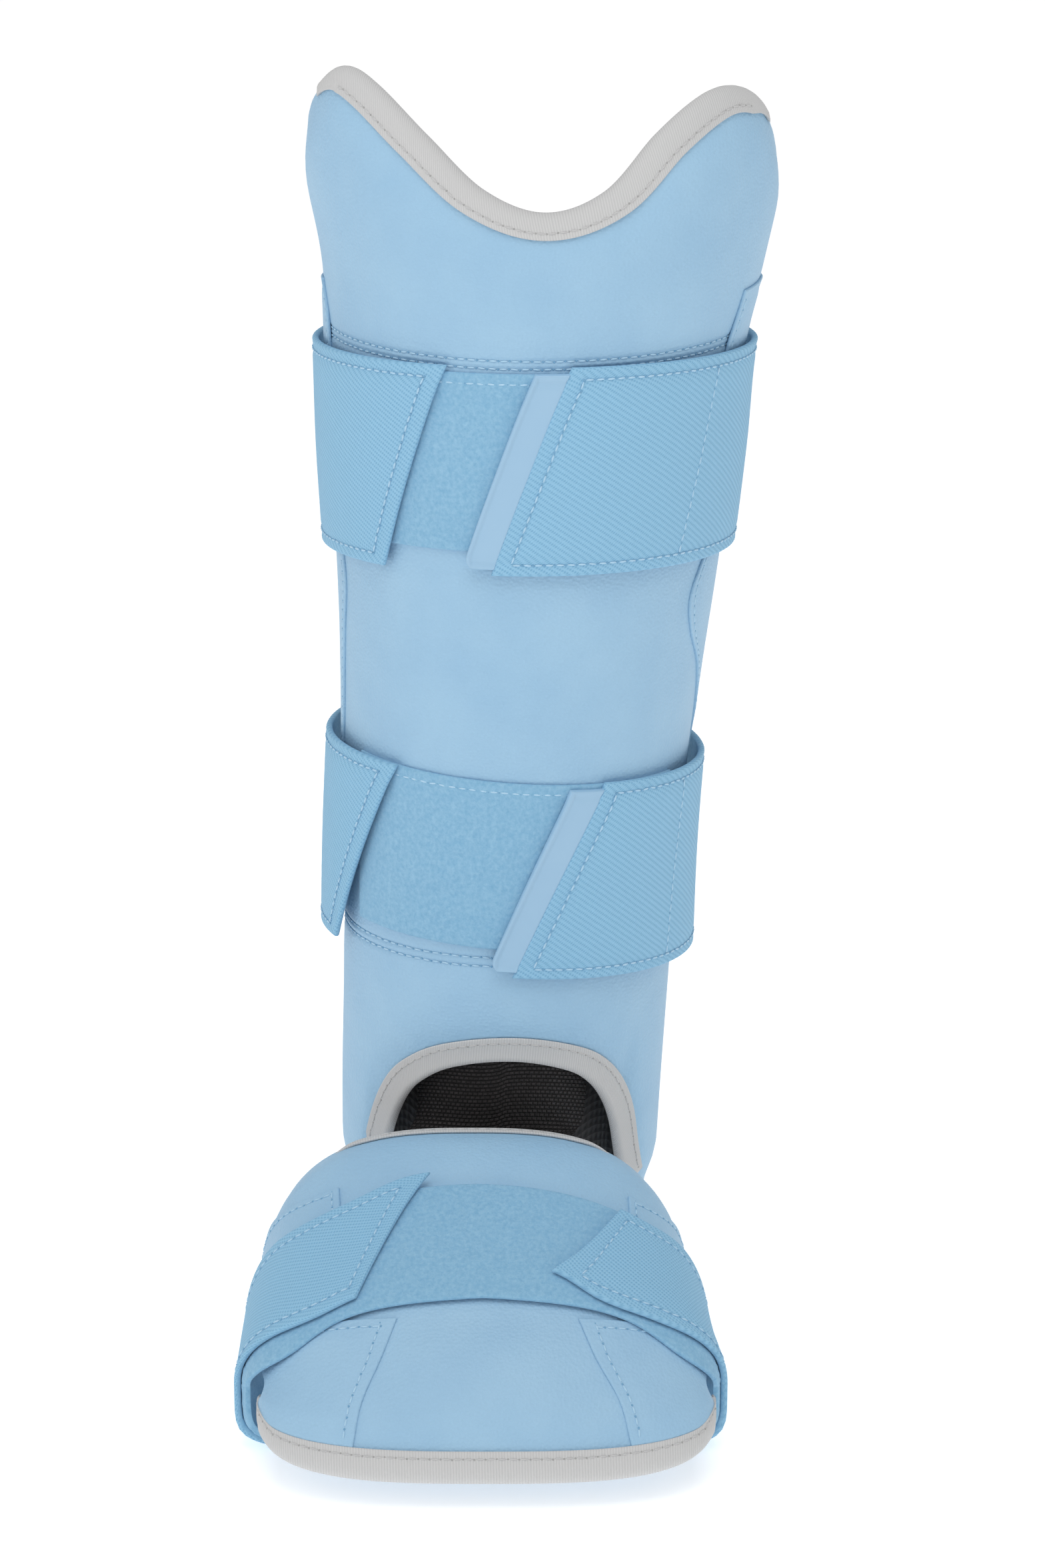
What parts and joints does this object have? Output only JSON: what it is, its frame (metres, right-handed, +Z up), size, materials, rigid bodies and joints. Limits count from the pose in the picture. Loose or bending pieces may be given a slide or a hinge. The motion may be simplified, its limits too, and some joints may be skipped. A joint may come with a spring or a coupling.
{
  "type": "batter's leg guard",
  "caption": "Padded shin shell with a knee scoop and ankle arch, a strapped foot hood on a nylon tongue, and hook-and-loop calf straps, worn to guard a batter's leg.",
  "frame": {"origin": "on the leg's axis, halfway up the shin, 200 mm above the toe edge", "axes": "+Z up the leg, -Y to the front of the shin and the toe, +X to the viewer's right"},
  "size_m": [0.1569, 0.2319, 0.3858],
  "materials": {
    "leather": "soft grained synthetic leather, pale blue",
    "strap": "twill elastic webbing, pale blue",
    "loop": "brushed loop pile, pale blue",
    "tab": "smooth moulded polyurethane, pale blue",
    "binding": "ribbed grosgrain tape, light grey",
    "nylon": "woven nylon, black"
  },
  "bodies": {
    "root": {"shin_shell": "leather", "shin_lining": "nylon", "top_binding": "binding", "ankle_binding": "binding", "left_wing": "leather", "right_wing": "leather", "upper_loop_panel": "loop", "upper_strap": "strap", "upper_pull_tab": "tab", "lower_loop_panel": "loop", "lower_strap": "strap", "lower_pull_tab": "tab", "ankle_tongue": "nylon", "foot_shell": "leather", "foot_rear_binding": "binding", "toe_binding": "binding", "foot_front_patch_left": "leather", "foot_front_patch_right": "leather", "foot_rear_patch_left": "leather", "foot_rear_patch_right": "leather", "foot_loop_band": "loop", "sole_strap": "strap"}
  },
  "joints": []
}
